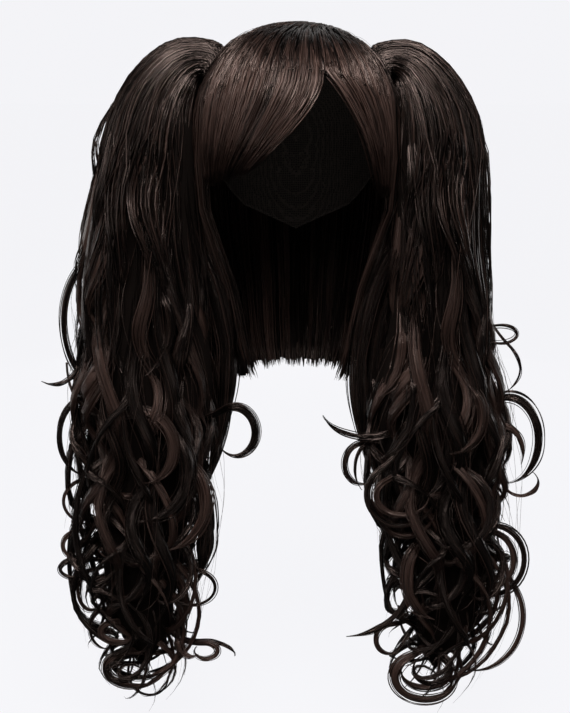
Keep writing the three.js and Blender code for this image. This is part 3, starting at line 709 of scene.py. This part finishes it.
def clear_of_head(points):
    """Moves points that lie inside the head hair out to just above it."""
    half_width, middle_y, half_depth = drape_size(points[..., 2])
    across = points[..., 0] / (half_width + TAIL_CLEARANCE[0])
    along = (points[..., 1] - middle_y) / (half_depth + TAIL_CLEARANCE[1])
    need = np.where(points[..., 2] > 0, dome_share(TAIL_CLEARANCE, points[..., 2]), 1)
    need = np.where(points[..., 2] > CLEAR_DOWN_TO, need, 0)
    grow = np.maximum(1, need / np.maximum(np.hypot(across, along), 1e-6))
    moved = points.copy()
    moved[..., 0] *= grow
    moved[..., 1] = middle_y + (points[..., 1] - middle_y) * grow
    return moved


def within_tail(points, table, side):
    """Draws in the points that lie outside a tail's outline, so that its locks keep to its form."""
    falling = table[TOP_ROW:][::-1]
    out, half, deep, middle_y = (
        np.interp(points[..., 2], falling[:, 1], falling[:, column]) for column in (0, 2, 3, 4)
    )
    across = side * points[..., 0] - out
    along = points[..., 1] - middle_y
    reach = np.maximum(np.hypot(across / half, along / deep), 1e-6)
    keep = np.where(reach > 1, 1 + OUTSIDE_SHARE * (reach - 1), reach) / reach
    return np.stack([side * (out + across * keep), middle_y + along * keep, points[..., 2]], axis=-1)


CORE_ROW = [0, 1, 4, 6, 8, 10, 11.4, 12.6, 13.2]
CORE_SHARE = [0.70, 0.76, 0.80, 0.78, 0.74, 0.64, 0.52, 0.36, 0.04]
CORE_COLUMNS, CORE_RINGS, CORE_RIPPLE, CORE_INNER_SHARE = 32, 40, 0.05, 0.3


def tail_core(table, side):
    """The packed fibre inside a tail, near black as painted shade, fuller on the inner side and thinning out
    towards the ends.
    """
    def place(u, v):
        row = CORE_ROW[-1] * v
        share = np.interp(row, CORE_ROW, CORE_SHARE) * (1 + CORE_RIPPLE * np.cos(10 * math.pi * u + 3 * v))
        inner = np.maximum(0, side * np.cos(2 * math.pi * u))
        share = share * (1 + CORE_INNER_SHARE * inner * smooth(2, 4, row) * smooth(10, 8, row))
        return clear_of_head(tail_point(table, side, row, 2 * math.pi * u, share)[0])
    bm = mapped_sheet(CORE_COLUMNS, CORE_RINGS, place)
    bmesh.ops.remove_doubles(bm, verts=bm.verts, dist=SEAM_GAP * MM)
    bmesh.ops.holes_fill(bm, edges=bm.edges)
    bmesh.ops.recalc_face_normals(bm, faces=bm.faces)
    return bm


# Styles of locks. root, leave and end are rows of the tail's table, at which a lock starts, begins to curl
# and ends, and steps counts its points before and after it curls. size is a lock's width, low_share how far
# out it lies further down, fan how far its strands spread at the top, light the share of locks that are
# brown, and lit and spread their lightness. The brown locks are painted light: they stand for lit locks,
# drawn at random among near black, shaded ones. Locks that start below the clip have a body under their
# strands.
FALL = {
    "locks": 28, "strands": 18, "steps": (11, 11), "root": 0.0, "leave": (3.2, 4.6), "end": (5.8, 8.8),
    "radius": (3, 8), "turns": (0.6, 1.2), "size": (12, 20), "low_share": (0.86, 0.95), "upright": False,
    "fan": 9.0, "width": 1.5, "light": 0.4, "lit": (8, 28), "spread": 9,
}
WAVES = {
    "locks": 30, "strands": 12, "steps": (5, 25), "root": 1.8, "leave": (3.8, 5.8), "end": (8.6, 12.6),
    "radius": (7, 12), "turns": (1.5, 2.6), "size": (11, 18), "low_share": (0.80, 0.95), "upright": False,
    "fan": 2.0, "width": 0.8, "light": 0.4, "lit": (28, 58), "spread": 18,
}
RINGLETS = {
    "locks": 52, "strands": 7, "steps": (5, 35), "root": 4.4, "leave": (6.2, 8.8), "end": (11.2, 14.0),
    "radius": (14, 23), "turns": (1.8, 3.0), "size": (6, 11), "low_share": (0.28, 0.88), "upright": True,
    "fan": 0.0, "width": 0.8, "light": 0.4, "lit": (38, 63), "spread": 16,
}
STRAYS = {
    "locks": 60, "strands": 1, "steps": (8, 20), "root": 0.0, "leave": (1.5, 4.5), "end": (7.0, 13.5),
    "radius": (4, 9), "turns": (1.2, 2.2), "size": (0.1, 0.2), "low_share": (0.94, 1.06), "upright": False,
    "fan": 0.0, "width": 0.5, "light": 1.0, "lit": (30, 60), "spread": 12,
}
COIL_TIGHTENING, DARK_RANKS = 1.6, (0, 8)
LOCK_MEASURES = ("leave", "end", "radius", "turns", "size", "low_share")
LOCK_SECTION = np.array([(-math.cos(a), math.sin(a)) for a in np.arange(6) * math.pi / 3])
LOCK_DEPTH, LOCK_DEPTH_SHARE, LOCK_COLUMNS, BODY_SHARE = 9.0, 0.7, 0.2, 0.75
LOCK_WANDER, LOCK_TIP = 0.4, 0.2
GOLDEN_TURN, ANGLE_SPREAD = 0.618034, 0.1
TOP_SHARE, PLANE_SPREAD, TILT = (0.93, 0.97), 0.3, (0.35, 0.75)
TIP_SPREAD, SHARE_SPREAD = (0.05, 0.45), (-0.035, 0.01)
GATHER_ROWS, LOOSEN_ROWS = (2.5, 7.0), (4.5, 9.0)
ROOT_FLARE, ROOT_FLARE_ROWS, BURIED_SHARE, BURIED_ROWS = 0.3, (0, 1.3), 0.35, 3.2


def lock_mesh(name, paths, normals, widths, tones):
    """Closed lens-shaped bodies of locks, whose UV spreads over more columns the wider the lock is."""
    depths = LOCK_DEPTH_SHARE * np.minimum(widths, LOCK_DEPTH)
    columns = tones[:, None] + LOCK_COLUMNS * widths.max(axis=1)[:, None] * LOCK_SECTION[:, 0]
    return tube_mesh(name, paths, normals, BODY_SHARE * widths, BODY_SHARE * depths, LOCK_SECTION, columns)


def lock_ranks(locks, light, lit):
    """Lightness of some locks: a share of them is brown, of a range of ranks, the others are nearly black.
    The brown ones are painted light, lit locks placed at random among shaded ones.
    """
    is_lit_lock = rng.uniform(0, 1, locks) < light
    brown = rng.uniform(*lit, locks)
    shaded_black = rng.uniform(*DARK_RANKS, locks)
    return np.where(is_lit_lock, brown, shaded_black)


def draw_locks(style):
    """The locks' own measures, drawn at random within a style."""
    locks = style["locks"]
    drawn = {key: rng.uniform(*style[key], locks) for key in LOCK_MEASURES}
    drawn["turns"] *= rng.choice([-1, 1], locks)
    drawn["phase"] = rng.uniform(0, 2 * math.pi, locks)
    drawn["angle"] = np.arange(locks) * 2 * math.pi * GOLDEN_TURN + rng.normal(0, ANGLE_SPREAD, locks)
    drawn["top_share"] = rng.uniform(*TOP_SHARE, locks)
    drawn["plane"] = rng.normal(0, PLANE_SPREAD, locks)
    drawn["tilt"] = rng.uniform(*TILT, locks) * rng.choice([-1, 1], locks)
    drawn["rank"] = lock_ranks(locks, style["light"], style["lit"])
    return drawn


def lock_lines(table, side, style, drawn, copies):
    """Middle lines of the locks, the ways they face and their widths, each lock given a number of times:
    straight and evenly spread at the top, coiled further down."""
    lock = {key: np.repeat(values, copies)[:, None] for key, values in drawn.items()}
    leave, end = lock["leave"], lock["end"]
    count = len(leave)
    loose = min(1, copies - 1)
    straight = np.linspace(0, 1, style["steps"][0], endpoint=False)[None, :]
    coiled = np.linspace(0, 1, style["steps"][1])[None, :] ** (1 / COIL_TIGHTENING)
    tip = end - loose * rng.uniform(*TIP_SPREAD, (count, 1))
    row = np.concatenate([between((style["root"], leave), straight), between((leave, tip), coiled)], axis=1)
    gather = smooth(*GATHER_ROWS, row)
    own_angle = loose * rng.uniform(-1, 1, (count, 1)) * style["fan"] / style["locks"]
    angle = lock["angle"] + own_angle * (1 - gather)
    share = lock["top_share"] + (lock["low_share"] - lock["top_share"]) * smooth(*LOOSEN_ROWS, row)
    share = share + loose * rng.uniform(*SHARE_SPREAD, (count, 1)) * (1 - gather)
    share = share + ROOT_FLARE * (1 - smooth(*ROOT_FLARE_ROWS, row))
    out_of_core = smooth(style["root"], style["root"] + BURIED_ROWS, row) if style["root"] else 1 + 0 * row
    share = share - BURIED_SHARE * (1 - out_of_core)
    base, outward = tail_point(table, side, row, angle, share)

    way = np.clip((row - leave) / (end - leave), 0, 1)
    turn = lock["phase"] + 2 * math.pi * lock["turns"] * way ** COIL_TIGHTENING
    open_by = lock["radius"] * smooth(0, 0.36, way) * (1 - 0.3 * way)
    if style["upright"]:
        plane, tilt = lock["plane"][..., None], lock["tilt"][..., None]
        flat = np.concatenate([np.cos(plane), np.sin(plane), 0 * plane], axis=-1)
        lift = np.cos(tilt) * UP + np.sin(tilt) * np.cross(UP, flat)
        curled = smooth(0.05, 0.4, way)[..., None]
    else:
        lift = unit(outward * [1, 1, 0])
        flat = np.cross(UP, lift)
        curled = smooth(0.05, 0.4, way)[..., None] * 0.3
    spoke = np.cos(turn)[..., None] * flat + np.sin(turn)[..., None] * lift
    normals = unit(outward * (1 - curled) + spoke * curled)
    narrow = 0.4 if style["root"] else 0.1
    emerging = 0.1 + 0.9 * smooth(0.55, 1, out_of_core)
    widths = lock["size"] * emerging * (narrow + (1 - narrow) * smooth(0, 0.3, way))
    widths = widths * (1 - 0.35 * way ** 2) * (1 - 0.95 * smooth(0.84, 1, way))
    return base + spoke * open_by[..., None], normals, widths


def lock_spread(paths, normals, size):
    """Spreads copies of a lock's middle line over its lens-shaped section, each copy keeping its place."""
    count = paths.shape[0]
    across = unit(np.cross(unit(np.gradient(paths, axis=1)), normals))
    place = rng.uniform(-1, 1, (count, 1))
    lens = np.sqrt(1 - 0.8 * place ** 2)
    depth = lens * rng.choice([-1, 1, 1], (count, 1)) * rng.uniform(0.8, 1.1, (count, 1))
    sideways = place * rng.uniform(0.85, 1.25, (count, 1)) * size / 2
    outwards = depth * LOCK_DEPTH_SHARE * np.minimum(size, LOCK_DEPTH) / 2
    return paths + across * sideways[..., None] + normals * outwards[..., None]


def add_locks(tail, kind, table, side, style):
    """Locks of one style on a tail: the bodies, where the style has them, and the strands over them."""
    drawn = draw_locks(style)
    if style["root"]:
        paths, normals, widths = lock_lines(table, side, style, drawn, 1)
        paths = clear_of_head(within_tail(paths, table, side))
        mesh = lock_mesh(tail + "_" + kind, paths, normals, widths, drawn["rank"])
        add_piece(tail + "_" + kind, mesh, STRANDS, tail)
    paths, normals, widths = lock_lines(table, side, style, drawn, style["strands"])
    paths = wavering(lock_spread(paths, normals, widths), LOCK_WANDER)
    if style["root"]:
        paths = within_tail(paths, table, side)
    paths = clear_of_head(paths)
    tones = ranks(np.repeat(drawn["rank"], style["strands"]), style["spread"], len(paths))
    thickness = tapered(len(paths), paths.shape[1], style["width"], LOCK_TIP)
    name = tail + "_" + kind + "_strands"
    add_piece(name, strand_mesh(name, paths, normals, thickness, tones), STRANDS, tail)


# Single curls and locks that show on a tail, seen from the front. Each row holds the ring's middle as a
# distance from the middle plane and a height, its half width and half height, the angle at which the lock
# comes into it (0 is the outer side, 90 the top), how far round it runs, the lock's thickness and its place
# front to back.
CURLS_LEFT = {
    "outer_wave": (150, -150, 44, 64, 65, -150, 7, -4),
    "outer_flick": (204, -168, 27, 32, 200, 90, 4, -12),
    "side_arc": (177, -245, 23, 35, 115, -215, 7, -15),
    "lower_arc": (172, -301, 27, 22, 70, -170, 5, -8),
    "upper_ring": (183, -340, 18, 15, 90, -190, 4, -12),
    "leaf": (183, -361, 21, 10, 110, -300, 5, -14),
    "small_loop": (177, -381, 12, 19, 90, -310, 5, -10),
    "pointed_loop": (165, -417, 15, 20, 105, -215, 5, -17),
    "low_ring": (154, -419, 16, 10, 105, -290, 8, -24),
    "flat_ring": (140, -454, 28, 18, 110, -270, 11, -18),
    "flat_ring_middle": (136, -451, 24, 12, 80, -250, 10, -8),
    "flat_ring_inside": (151, -457, 15, 9, 100, -300, 6, -26),
    "end_loop": (128, -458, 19, 22, 20, -205, 3, 0),
    "thin_ring": (91, -378, 22, 17, 90, 290, 4, -27),
    "inner_curl": (91, -428, 13, 16, 10, -130, 7, -20),
    "inner_ring": (79, -437, 11, 8, 80, 320, 6, -20),
    "inner_flick": (83, -443, 34, 16, 90, 85, 5, -12),
    "neck_loop": (52, -239, 18, 22, 60, 265, 9, -34),
    "front_ring": (130, -254, 28, 33, 75, 200, 11, -58),
    "front_wave": (136, -274, 46, 50, 140, 130, 15, -56),
    "inner_wave": (123, -301, 48, 51, 140, 115, 13, -46),
    "upper_wave": (150, -150, 48, 56, 150, 85, 12, -54),
    "low_lock": (120, -317, 46, 44, 25, -110, 13, -46),
    "cheek_lock": (112, -190, 60, 130, 115, 105, 22, -3),
    "neck_lock": (118, -215, 58, 130, 120, 105, 22, 16),
    "inner_lock": (132, -205, 58, 140, 120, 110, 30, 8),
    "end_fall": (108, -420, 36, 62, 38, -80, 15, -8),
    "end_fall_behind": (160, -418, 32, 58, 150, 70, 15, 6),
    "end_fall_middle": (96, -412, 46, 70, 30, -68, 14, 0),
    "end_fall_inner": (84, -404, 38, 64, 40, -90, 14, -4),
    "inner_fall": (110, -332, 35, 80, 140, 75, 22, -4),
}
CURLS_RIGHT = {
    "small_ring": (168, -155, 14, 8, 105, -290, 4, -18),
    "under_ring": (158, -186, 29, 26, 50, -100, 3, -14),
    "big_loop": (177, -248, 28, 40, 100, -185, 11, -16),
    "big_loop_inside": (172, -260, 21, 28, 100, -115, 7, -22),
    "hook": (191, -282, 15, 13, 215, 195, 4, -21),
    "round_arc": (168, -354, 29, 33, 100, -285, 8, -14),
    "round_arc_middle": (165, -354, 23, 27, 100, -275, 8, -24),
    "round_arc_inside": (162, -356, 16, 20, 105, -270, 6, -31),
    "low_sag": (163, -384, 22, 19, 180, 170, 5, -15),
    "long_wisp": (154, -409, 44, 52, 40, -140, 6, -13),
    "inner_flick": (57, -212, 44, 32, -45, -110, 6, -32),
    "neck_loop": (56, -267, 16, 19, 80, 225, 6, -30),
    "neck_wisp": (66, -272, 18, 26, 110, 120, 3, -33),
    "basket_rim": (90, -294, 31, 30, 125, 240, 8, -43),
    "basket_middle": (91, -295, 24, 18, 125, 230, 7, -50),
    "basket_low": (95, -303, 27, 30, 170, 185, 8, -39),
    "lit_ring": (135, -309, 31, 37, 65, -190, 9, -57),
    "low_flick": (34, -374, 66, 57, 0, -80, 7, -24),
    "low_loop": (82, -426, 13, 15, 90, 230, 6, -23),
    "end_ring": (115, -462, 29, 23, 120, 270, 11, -23),
    "end_ring_middle": (113, -456, 23, 17, 70, -270, 10, -14),
    "end_ring_inside": (118, -453, 17, 16, 60, -290, 8, -30),
    "end_flick": (94, -458, 12, 12, 80, 130, 4, -17),
    "right_flick": (126, -421, 22, 30, 60, -150, 7, -22),
    "front_wave": (57, -212, 44, 60, 20, -90, 15, -58),
    "front_lock": (101, -254, 29, 50, 60, -125, 12, -54),
    "front_ring": (127, -227, 30, 35, 50, -135, 9, -59),
    "low_lock": (128, -370, 33, 44, 140, 115, 13, -44),
    "upper_wave": (54, -165, 34, 56, 12, -75, 12, -46),
    "cheek_lock": (108, -205, 62, 140, 115, 100, 22, -3),
    "neck_lock": (112, -215, 58, 130, 120, 105, 22, 16),
    "inner_lock": (122, -212, 58, 140, 120, 110, 30, 8),
    "end_fall": (96, -424, 34, 60, 38, -80, 15, -8),
    "end_fall_behind": (146, -412, 40, 62, 150, 80, 15, 8),
    "end_fall_middle": (84, -410, 42, 70, 30, -70, 14, 0),
}
LEAD_STEPS, RING_STEPS, RING_CLOSING, RING_ADVANCE = 14, 30, 0.12, 10.0
SHORT_LEAD, LONG_LEAD, CURL_TUCK, CURL_DEPTH = 56.0, 0.9, 22.0, 0.35
CURL_LIGHT, CURL_LIT, UNDER_LOCK, UNDER_SHADE_RANK = 0.58, (38, 63), 13, 5
CURL_STRANDS, STRANDS_PER_MM, CURL_STRAND_WIDTH, CURL_TONE_SPREAD = 3, 0.6, 0.9, 16
VIEW_DISTANCE, VIEW_X, VIEW_Z = 1000.0, -9.6, 50.0


def curl_line(row, side):
    """Middle line of a curl: out of the tail from above, then round its ring. A curl nearer the viewer is
    drawn in so that it still looks in place."""
    out, z, wide, tall, start, sweep, _, y = row
    round_by = np.linspace(0, 1, RING_STEPS)
    angle = np.radians(start + sweep * round_by)
    closing = 1 - RING_CLOSING * round_by
    ring = np.stack([out + wide * closing * np.cos(angle), z + tall * closing * np.sin(angle)], axis=-1)
    length = SHORT_LEAD + LONG_LEAD * max(0, -y)
    back = unit(ring[0] - ring[1]) * length / 2
    t = np.linspace(0, 1, LEAD_STEPS, endpoint=False)[:, None]
    bend = ring[0] + back
    lead = (1 - t) ** 2 * (bend + [0, length / 2]) + 2 * t * (1 - t) * bend + t ** 2 * ring[0]
    seen = np.concatenate([lead, ring])
    at = np.linspace(0, 1, len(seen))
    tuck = CURL_TUCK + CURL_DEPTH * max(0, -y)
    depth = y + RING_ADVANCE * (0.5 - at) + tuck * (1 - smooth(0, 0.42, at))
    scale = 1 + depth / VIEW_DISTANCE
    return np.stack([
        VIEW_X + (side * seen[:, 0] - VIEW_X) * scale, depth, VIEW_Z + (seen[:, 1] - VIEW_Z) * scale
    ], axis=-1)


def add_curls(tail, side, curls):
    """The single curls of a tail: their bodies and the strands over them."""
    paths = np.array([curl_line(row, side) for row in curls.values()])
    sizes = np.array([row[6] for row in curls.values()])
    steps = paths.shape[1]
    at = np.linspace(0, 1, steps)
    middles = paths[:, LEAD_STEPS:].mean(axis=1, keepdims=True)
    spoke = unit((paths - middles) * [1, 0, 1]) * smooth(0.2, 0.5, at)[None, :, None]
    normals = unit(spoke * 0.6 + [0.0, -0.9, 0.2])
    fullness = (0.12 + 0.88 * smooth(0.06, 0.5, at)) * (1 - 0.4 * at ** 4) * (1 - 0.93 * smooth(0.72, 1, at))
    widths = sizes[:, None] * fullness[None, :]
    # Painted shade: the thickest locks lie under the others and are given a near black rank.
    rank = np.where(sizes > UNDER_LOCK, UNDER_SHADE_RANK, lock_ranks(len(paths), CURL_LIGHT, CURL_LIT))
    bodies = lock_mesh(tail + "_curls", paths, normals, widths, rank)
    add_piece(tail + "_curls", bodies, STRANDS, tail)
    copies = np.repeat(np.arange(len(paths)), (CURL_STRANDS + STRANDS_PER_MM * sizes).astype(int))
    strands = wavering(lock_spread(paths[copies], normals[copies], widths[copies]), LOCK_WANDER)
    thickness = tapered(len(copies), steps, CURL_STRAND_WIDTH, LOCK_TIP)
    tones = ranks(rank[copies], CURL_TONE_SPREAD, len(copies))
    name = tail + "_curls_strands"
    add_piece(name, strand_mesh(name, strands, normals[copies], thickness, tones), STRANDS, tail)


TAIL_STYLES = {"fall": FALL, "waves": WAVES, "ringlets": RINGLETS, "strays": STRAYS}
TAILS = {"tail_left": (-1, TAIL_LEFT, CURLS_LEFT), "tail_right": (1, TAIL_RIGHT, CURLS_RIGHT)}
TAIL_SEED = 3
for tail, (side, table, curls) in TAILS.items():
    rng = np.random.default_rng(TAIL_SEED)
    core = tail_core(table, side)
    add_piece(tail + "_core", mesh_of(core, tail + "_core"), GROUND, tail)
    for kind, style in TAIL_STYLES.items():
        add_locks(tail, kind, table, side, style)
    add_curls(tail, side, curls)

# Stage
# A pale floor below the hanging ends and a pale surround, which are bright to the camera alone. Soft boxes
# light the hair from all round, most of all from the front and above. The camera has the photograph's view.
FLOOR_Z, FLOOR_HALF, FLOOR_CELLS = -0.53, 30, 8
PALE, FLOOR_SEEN, SURROUND_SEEN, PALE_LIGHT = (0.93, 0.93, 0.96, 1), 0.965, 0.97, 0.02
FOCAL, SENSOR, CAMERA_DOWN = 62.56, 36.0, 12.6


def seen_strength(tree, seen):
    """A strength that is full for the camera and faint as light on the hair."""
    path = tree.nodes.new("ShaderNodeLightPath")
    strength = tree.nodes.new("ShaderNodeMapRange")
    strength.inputs["To Min"].default_value = PALE_LIGHT
    strength.inputs["To Max"].default_value = seen
    tree.links.new(path.outputs["Is Camera Ray"], strength.inputs["Value"])
    return strength.outputs["Result"]


floor_grid = bmesh.new()
bmesh.ops.create_grid(floor_grid, x_segments=FLOOR_CELLS, y_segments=FLOOR_CELLS, size=FLOOR_HALF)
bmesh.ops.translate(floor_grid, verts=floor_grid.verts, vec=(0, 0, FLOOR_Z))
floor = bpy.data.objects.new("floor", mesh_of(floor_grid, "floor"))
bpy.context.scene.collection.objects.link(floor)
pale, _, pale_links, pale_shader = principled("pale_floor")
pale_shader.inputs["Base Color"].default_value = (0.02, 0.02, 0.02, 1)
pale_shader.inputs["Roughness"].default_value = 1.0
pale_shader.inputs["Specular IOR Level"].default_value = 0.0
pale_shader.inputs["Emission Color"].default_value = PALE
pale_links.new(seen_strength(pale.node_tree, FLOOR_SEEN), pale_shader.inputs["Emission Strength"])
floor.data.materials.append(pale)

world = bpy.data.worlds.new("studio")
bpy.context.scene.world = world
world.use_nodes = True
background = world.node_tree.nodes["Background"]
background.inputs["Color"].default_value = PALE
world.node_tree.links.new(seen_strength(world.node_tree, SURROUND_SEEN), background.inputs["Strength"])


def soft_light(name, place, target, size, power):
    """A square soft box aimed at a point."""
    data = bpy.data.lights.new(name, "AREA")
    data.size = size
    data.energy = power
    light = bpy.data.objects.new(name, data)
    light.location = place
    light.rotation_euler = (Vector(target) - Vector(place)).to_track_quat("-Z", "Y").to_euler()
    bpy.context.scene.collection.objects.link(light)


soft_light("front_box", (-0.08, -1.15, 1.4), (0, 0, -0.1), 1.0, 74)
soft_light("left_box", (-1.6, -0.5, 0.5), (0, 0, -0.2), 0.7, 5)
soft_light("right_box", (1.6, -0.4, 0.5), (0, 0, -0.2), 0.7, 1.8)
soft_light("back_left_box", (-1.2, 1.2, -0.3), (0, 0, -0.1), 0.8, 4)
soft_light("back_right_box", (1.2, 1.2, -0.3), (0, 0, -0.1), 0.8, 4)
soft_light("back_box", (0, 1.6, -0.3), (0, 0, -0.1), 1.0, 7)
soft_light("top_back_box", (0.15, 1.3, 0.95), (0, 0, 0.05), 1.0, 2.5)
soft_light("low_box", (0, -0.6, -0.48), (0, 0, -0.46), 0.3, 0.5)

camera_data = bpy.data.cameras.new("photo_view")
camera_data.lens = FOCAL
camera_data.sensor_width = SENSOR
camera = bpy.data.objects.new("photo_view", camera_data)
camera.location = (VIEW_X * MM, -VIEW_DISTANCE * MM, VIEW_Z * MM)
camera.rotation_euler = (math.radians(90 - CAMERA_DOWN), 0, 0)
bpy.context.scene.collection.objects.link(camera)
bpy.context.scene.camera = camera
bpy.context.scene.view_settings.view_transform = "Standard"
